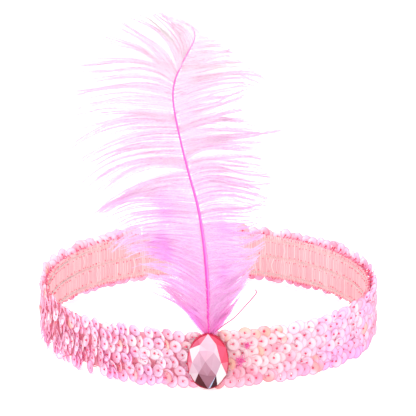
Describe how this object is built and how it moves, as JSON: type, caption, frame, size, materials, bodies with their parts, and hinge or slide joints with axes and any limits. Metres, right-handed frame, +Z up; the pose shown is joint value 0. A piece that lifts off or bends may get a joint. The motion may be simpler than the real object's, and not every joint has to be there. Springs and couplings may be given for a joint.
{
  "type": "flapper feather headband",
  "caption": "Stretch headband of staggered sequins on gathered elastic, with an oval faceted stone and a dyed ostrich plume standing at the front.",
  "frame": {"origin": "the middle of the object's footprint, on the surface that the band's lower edge rests on", "axes": "+Z up along the plume, -Y towards the stone at the front, +X to the right as seen from the front"},
  "size_m": [0.152, 0.1667, 0.1654],
  "materials": {
    "elastic": "gathered salmon-pink elastic with grey-white chain stitches",
    "sequins": "iridescent pink, translucent, glossy",
    "stone": "faceted clear pink with a foil back, polished",
    "plume": "dyed ostrich plume, hot pink quill, soft pink barbs"
  },
  "bodies": {
    "root": {"elastic_tape": "elastic", "sequin_field": "sequins", "gem": "stone", "ostrich_feather": "plume"}
  },
  "joints": []
}
